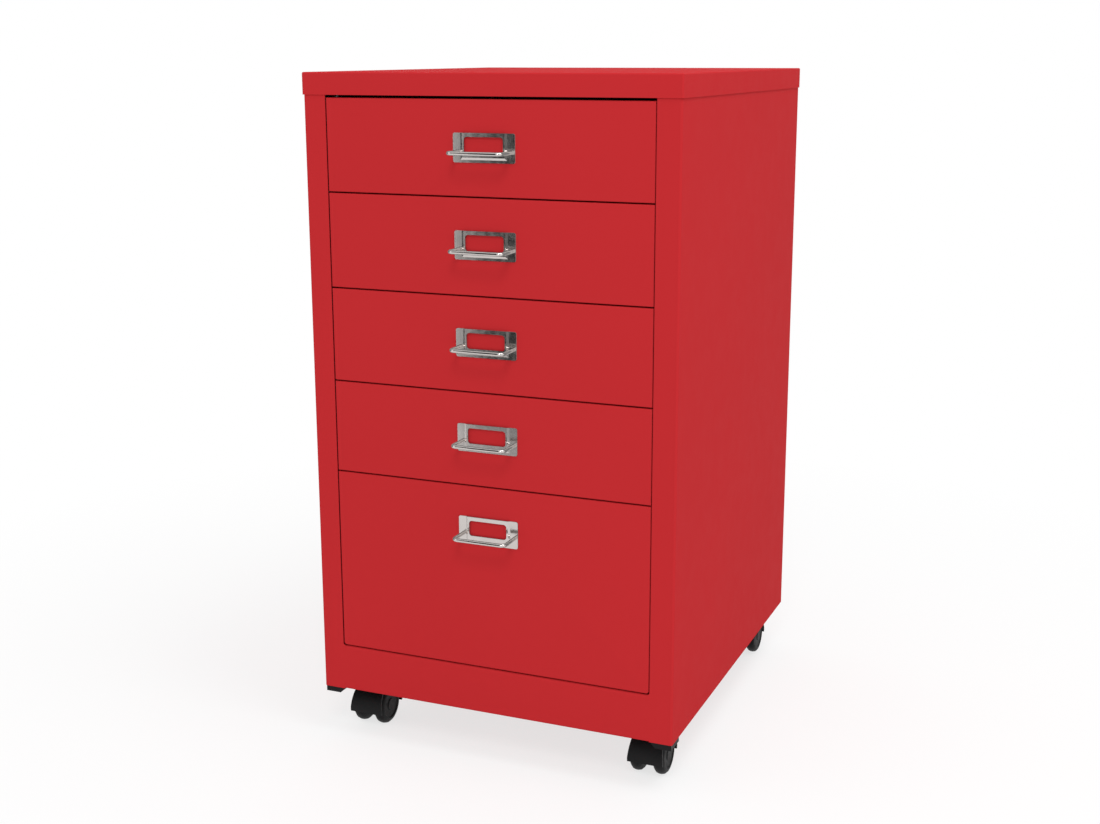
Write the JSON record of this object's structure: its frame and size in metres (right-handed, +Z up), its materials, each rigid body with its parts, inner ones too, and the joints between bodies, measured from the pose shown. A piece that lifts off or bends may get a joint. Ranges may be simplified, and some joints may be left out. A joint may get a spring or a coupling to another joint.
{
  "type": "mobile pedestal",
  "caption": "Sheet-steel drawer pedestal on swivel castors, with label-holder wire pulls on drawers that slide out of a painted case.",
  "frame": {"origin": "on the floor under the middle of the overall box, wire pulls and lid included", "axes": "+Z up, drawers open towards -Y, +X to the right of a person facing the drawers"},
  "size_m": [0.3518, 0.414, 0.6255],
  "materials": {
    "red_paint": "smooth satin powder coat",
    "chrome": "bright plated",
    "zinc_steel": "zinc plated",
    "black_plastic": "moulded satin",
    "wheel_plastic": "moulded, hard tread",
    "nylon": "natural nylon"
  },
  "bodies": {
    "case": {"side_panel_left": "red_paint", "side_panel_right": "red_paint", "back_panel": "red_paint", "lid": "red_paint", "front_rails": "red_paint", "base_pan": "red_paint", "corner_feet": "black_plastic", "runner_posts": "zinc_steel", "runners_left": "zinc_steel", "runners_right": "zinc_steel", "runner_pads": "nylon", "castor_plates": "zinc_steel", "castor_kingpins": "zinc_steel"},
    "drawer_1": {"drawer_1_front": "red_paint", "drawer_1_tray": "red_paint", "drawer_1_label_plate": "chrome", "drawer_1_pull": "chrome", "drawer_1_retainers": "zinc_steel", "drawer_1_glides": "nylon"},
    "drawer_2": {"drawer_2_front": "red_paint", "drawer_2_tray": "red_paint", "drawer_2_label_plate": "chrome", "drawer_2_pull": "chrome", "drawer_2_retainers": "zinc_steel", "drawer_2_glides": "nylon"},
    "drawer_3": {"drawer_3_front": "red_paint", "drawer_3_tray": "red_paint", "drawer_3_label_plate": "chrome", "drawer_3_pull": "chrome", "drawer_3_retainers": "zinc_steel", "drawer_3_glides": "nylon"},
    "drawer_4": {"drawer_4_front": "red_paint", "drawer_4_tray": "red_paint", "drawer_4_label_plate": "chrome", "drawer_4_pull": "chrome", "drawer_4_retainers": "zinc_steel", "drawer_4_glides": "nylon"},
    "drawer_5": {"drawer_5_front": "red_paint", "drawer_5_tray": "red_paint", "drawer_5_label_plate": "chrome", "drawer_5_pull": "chrome", "drawer_5_retainers": "zinc_steel", "drawer_5_glides": "nylon"},
    "castor_front_left": {"castor_front_left_housing": "black_plastic", "castor_front_left_axle": "zinc_steel"},
    "castor_front_left_wheel_a": {"castor_front_left_wheel_a": "wheel_plastic"},
    "castor_front_left_wheel_b": {"castor_front_left_wheel_b": "wheel_plastic"},
    "castor_front_right": {"castor_front_right_housing": "black_plastic", "castor_front_right_axle": "zinc_steel"},
    "castor_front_right_wheel_a": {"castor_front_right_wheel_a": "wheel_plastic"},
    "castor_front_right_wheel_b": {"castor_front_right_wheel_b": "wheel_plastic"},
    "castor_rear_left": {"castor_rear_left_housing": "black_plastic", "castor_rear_left_axle": "zinc_steel"},
    "castor_rear_left_wheel_a": {"castor_rear_left_wheel_a": "wheel_plastic"},
    "castor_rear_left_wheel_b": {"castor_rear_left_wheel_b": "wheel_plastic"},
    "castor_rear_right": {"castor_rear_right_housing": "black_plastic", "castor_rear_right_axle": "zinc_steel"},
    "castor_rear_right_wheel_a": {"castor_rear_right_wheel_a": "wheel_plastic"},
    "castor_rear_right_wheel_b": {"castor_rear_right_wheel_b": "wheel_plastic"}
  },
  "joints": [
    {"name": "drawer_1_slide", "type": "slide", "parent": "case", "child": "drawer_1", "axis": [0, -1, 0], "range_m": [0, 0.3]},
    {"name": "drawer_2_slide", "type": "slide", "parent": "case", "child": "drawer_2", "axis": [0, -1, 0], "range_m": [0, 0.3]},
    {"name": "drawer_3_slide", "type": "slide", "parent": "case", "child": "drawer_3", "axis": [0, -1, 0], "range_m": [0, 0.3]},
    {"name": "drawer_4_slide", "type": "slide", "parent": "case", "child": "drawer_4", "axis": [0, -1, 0], "range_m": [0, 0.3]},
    {"name": "drawer_5_slide", "type": "slide", "parent": "case", "child": "drawer_5", "axis": [0, -1, 0], "range_m": [0, 0.3]},
    {"name": "castor_front_left_swivel", "type": "hinge", "parent": "case", "child": "castor_front_left", "pos_m": [-0.143, -0.12985, 0.049], "axis": [0, 0, 1], "continuous": true},
    {"name": "castor_front_left_wheel_a_spin", "type": "hinge", "parent": "castor_front_left", "child": "castor_front_left_wheel_a", "pos_m": [-0.143, -0.14185, 0.019], "axis": [1, 0, 0], "continuous": true},
    {"name": "castor_front_left_wheel_b_spin", "type": "hinge", "parent": "castor_front_left", "child": "castor_front_left_wheel_b", "pos_m": [-0.143, -0.14185, 0.019], "axis": [1, 0, 0], "continuous": true},
    {"name": "castor_front_right_swivel", "type": "hinge", "parent": "case", "child": "castor_front_right", "pos_m": [0.143, -0.12985, 0.049], "axis": [0, 0, 1], "continuous": true},
    {"name": "castor_front_right_wheel_a_spin", "type": "hinge", "parent": "castor_front_right", "child": "castor_front_right_wheel_a", "pos_m": [0.143, -0.14185, 0.019], "axis": [1, 0, 0], "continuous": true},
    {"name": "castor_front_right_wheel_b_spin", "type": "hinge", "parent": "castor_front_right", "child": "castor_front_right_wheel_b", "pos_m": [0.143, -0.14185, 0.019], "axis": [1, 0, 0], "continuous": true},
    {"name": "castor_rear_left_swivel", "type": "hinge", "parent": "case", "child": "castor_rear_left", "pos_m": [-0.143, 0.15915, 0.049], "axis": [0, 0, 1], "continuous": true},
    {"name": "castor_rear_left_wheel_a_spin", "type": "hinge", "parent": "castor_rear_left", "child": "castor_rear_left_wheel_a", "pos_m": [-0.143, 0.17115, 0.019], "axis": [1, 0, 0], "continuous": true},
    {"name": "castor_rear_left_wheel_b_spin", "type": "hinge", "parent": "castor_rear_left", "child": "castor_rear_left_wheel_b", "pos_m": [-0.143, 0.17115, 0.019], "axis": [1, 0, 0], "continuous": true},
    {"name": "castor_rear_right_swivel", "type": "hinge", "parent": "case", "child": "castor_rear_right", "pos_m": [0.143, 0.15915, 0.049], "axis": [0, 0, 1], "continuous": true},
    {"name": "castor_rear_right_wheel_a_spin", "type": "hinge", "parent": "castor_rear_right", "child": "castor_rear_right_wheel_a", "pos_m": [0.143, 0.17115, 0.019], "axis": [1, 0, 0], "continuous": true},
    {"name": "castor_rear_right_wheel_b_spin", "type": "hinge", "parent": "castor_rear_right", "child": "castor_rear_right_wheel_b", "pos_m": [0.143, 0.17115, 0.019], "axis": [1, 0, 0], "continuous": true}
  ]
}
